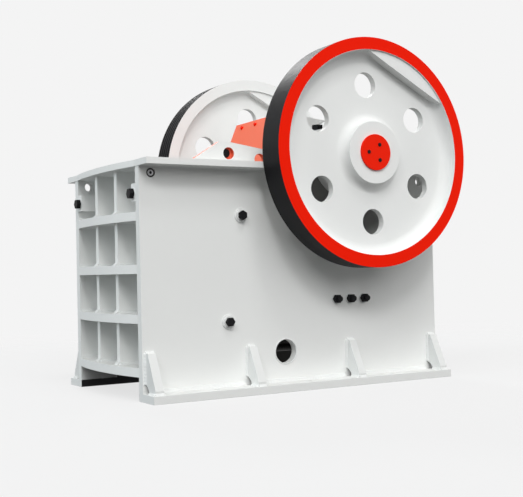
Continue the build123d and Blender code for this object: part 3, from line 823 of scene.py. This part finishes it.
def addFillet(bm, start, end, legA, legB, size):
    # the joint's corner runs from start to end, and the legs lie on the two plates
    start, end, legA, legB = (Vector(v) for v in (start, end, legA, legB))
    along = (end - start).normalized()
    length = (end - start).length
    count = max(2, round(length / weld["step"]))
    points = [(legA + legB) * -weld["sunk"], legA * size]
    for angle in weld["arc"]:
        turn = math.radians(angle)
        points.append((legA * math.cos(turn) + legB * math.sin(turn)) * size * weld["throat"])
    points.append(legB * size)
    before = set(bm.verts)
    face = bm.faces.new([bm.verts.new(start + p) for p in points])
    sweep(bm, [face], start, (0, 0, 1), 0, count, along * length / count)
    for v in bm.verts:
        if v not in before:
            offset = v.co - start
            travel = offset.dot(along)
            v.co = start + along * travel + (offset - along * travel) * ripple(travel)


def finishWeld(name, bm):
    pointOutwards(bm)
    finishPiece(name, bm, "frame", "white_paint", "beadPaint")


# The gussets, and how far their welds keep from the cut-away corners
gusset = {"fromEnd": 0.049, "spacing": 0.726, "thick": 0.056, "reach": 0.142, "rathole": 0.051,
          "clear": 0.006}


def gussetMiddles():
    front, rear = sideLow.x + gusset["fromEnd"], sideHigh.x - gusset["fromEnd"]
    return [front, front + gusset["spacing"], rear - gusset["spacing"], rear]


def betweenGussets():
    # the foot's weld stops short of each gusset, whose corner is cut away there
    half = gusset["thick"] / 2 + weld["gap"]
    starts = [middle + half for middle in gussetMiddles()[:-1]]
    ends = [middle - half for middle in gussetMiddles()[1:]]
    return list(zip(starts, ends))


def addPlateWelds():
    top = sideHigh.z
    for side, sign in bothSides:
        bm = bmesh.new()
        out = (0, sign, 0)
        y = sign * plateOuter
        for start, end in betweenGussets():
            addFillet(bm, (start, y, footTop), (end, y, footTop), out, (0, 0, 1), weld["foot"])
        addFillet(bm, (sideLow.x, y, top), (sideHigh.x, y, top), out, (0, 0, -1), weld["flange"])
        finishWeld("plateWelds" + side, bm)


def addGussetWelds():
    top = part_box("gussets_right")[1].z
    clear = gusset["rathole"] + gusset["clear"]
    size = weld["gusset"]
    for side, sign in bothSides:
        bm = bmesh.new()
        out = (0, sign, 0)
        y, toe = sign * plateOuter, sign * (plateOuter + gusset["reach"])
        for middle in gussetMiddles():
            low, high = middle - gusset["thick"] / 2, middle + gusset["thick"] / 2
            for x, across in ((low, (-1, 0, 0)), (high, (1, 0, 0))):
                addFillet(bm, (x, y, footTop + clear), (x, y, top), across, out, size)
                addFillet(bm, (x, y + sign * clear, footTop), (x, toe, footTop), across, (0, 0, 1), size)
            addFillet(bm, (low, y, top), (high, y, top), out, (0, 0, 1), size)
            addFillet(bm, (low, toe, footTop), (high, toe, footTop), out, (0, 0, 1), size)
        finishWeld("gussetWelds" + side, bm)


# Welds inside the cells of the front and rear walls, along the foot of each upright
cellWeld = {"size": 0.015, "toe": 0.020, "digits": 4}


def levels(names, axis):
    # the places along an axis where the named pieces have corners, each place once
    corners = (v.co[axis] for name in names for v in nodes[name].data.vertices)
    return sorted({round(corner, cellWeld["digits"]) for corner in corners})


def ribTops(end):
    # the upper faces of the ribs that have a cell above them
    ribs = [name for name in nodes if name.startswith(end + "_rib") and not name.endswith("_top")]
    return sorted(top for name in ribs for top in levels([name], 2)[1::2])


def addCellWelds():
    for end, outer, out in (("front", 0, -1), ("rear", 1, 1)):    # outer: the outward corner of a box
        uprights = [name for name in nodes if name.startswith(end + "_stiffeners")]
        edges = levels(uprights, 1)
        tops = ribTops(end)
        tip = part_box(uprights[0])[outer].x
        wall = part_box(end + "_wall")[outer].x
        bm = bmesh.new()
        for z in tops:
            for i, y in enumerate([-plateInner] + edges + [plateInner]):
                across = (0, 1 if i % 2 == 0 else -1, 0)
                addFillet(bm, (tip, y, z), (wall, y, z), across, (0, 0, 1), cellWeld["size"])
            if end == "front":    # the front ribs are bowed, and leave room for a weld at the toe
                for low, high in zip(edges[::2], edges[1::2]):
                    addFillet(bm, (tip, low, z), (tip, high, z), (out, 0, 0), (0, 0, 1), cellWeld["toe"])
        finishWeld("cellWelds" + end.title(), bm)
        print(end, "cells welded:", len(tops), "ribs,", len(edges) // 2, "uprights")


addPlateWelds()
addGussetWelds()
addCellWelds()
print("welds are laid")

# The tension rod's spring, a smooth coil in place of the plain one
tension = {"axis": 0.2295, "coil": 0.062, "wire": 0.0118, "turns": 5.0, "sides": 12, "stepsPerTurn": 40}


def addHelix(bm, x, radius, section, sides, turns, steps, travel):
    # a round bar wound about the tension rod, from x on
    ring = bmesh.ops.create_circle(bm, cap_ends=True, segments=sides, radius=section)
    upright = Matrix.Rotation(math.radians(90), 4, "X")
    shift = Matrix.Translation((x, 0, tension["axis"] + radius)) @ upright
    bmesh.ops.transform(bm, matrix=shift, verts=ring["verts"])
    faces = list({f for v in ring["verts"] for f in v.link_faces})
    sweep(bm, faces, (0, 0, tension["axis"]), (1, 0, 0), 360 * turns, steps, (travel, 0, 0))


def addTension():
    low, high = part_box("tension_spring")
    wire = tension["wire"]
    steps = int(tension["turns"] * tension["stepsPerTurn"])
    travel = (high.x - low.x - 2 * wire) / steps
    bm = bmesh.new()
    addHelix(bm, low.x + wire, tension["coil"], wire, tension["sides"], tension["turns"], steps, travel)
    pointOutwards(bm, smooth=True)
    coil = finishPiece("tensionCoil", bm, "frame", "machined_steel", "machinedSteel")
    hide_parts("tension_spring")


# The rod's lock nut, and the thread from it to one pitch short of the rod's end
lockNut = {"radius": 0.0485, "thick": 0.022, "sides": 6, "edge": 0.003, "turned": 90, "thread": 0.0272,
           "ridge": 0.0016, "ridgeSides": 6, "pitch": 0.004, "stepsPerTurn": 36}


def addLockNut():
    start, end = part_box("tension_nut")[1].x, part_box("tension_rod")[1].x - lockNut["pitch"]
    bm = bmesh.new()
    addRound(bm, (start, 0, tension["axis"]), (1, 0, 0), lockNut["radius"], -solid["overlap"],
             lockNut["thick"], lockNut["sides"], lockNut["edge"], lockNut["turned"])
    start += lockNut["thick"]
    turns = (end - start) / lockNut["pitch"]
    perTurn = lockNut["stepsPerTurn"]
    addHelix(bm, start, lockNut["thread"], lockNut["ridge"], lockNut["ridgeSides"], turns,
             round(perTurn * turns), lockNut["pitch"] / perTurn)
    pointOutwards(bm)
    finishPiece("tensionLockNut", bm, "frame", "machined_steel", "machinedSteel")


addTension()
addLockNut()
print("the tension rod is dressed")

bpy.context.scene.view_settings.view_transform = "Standard"
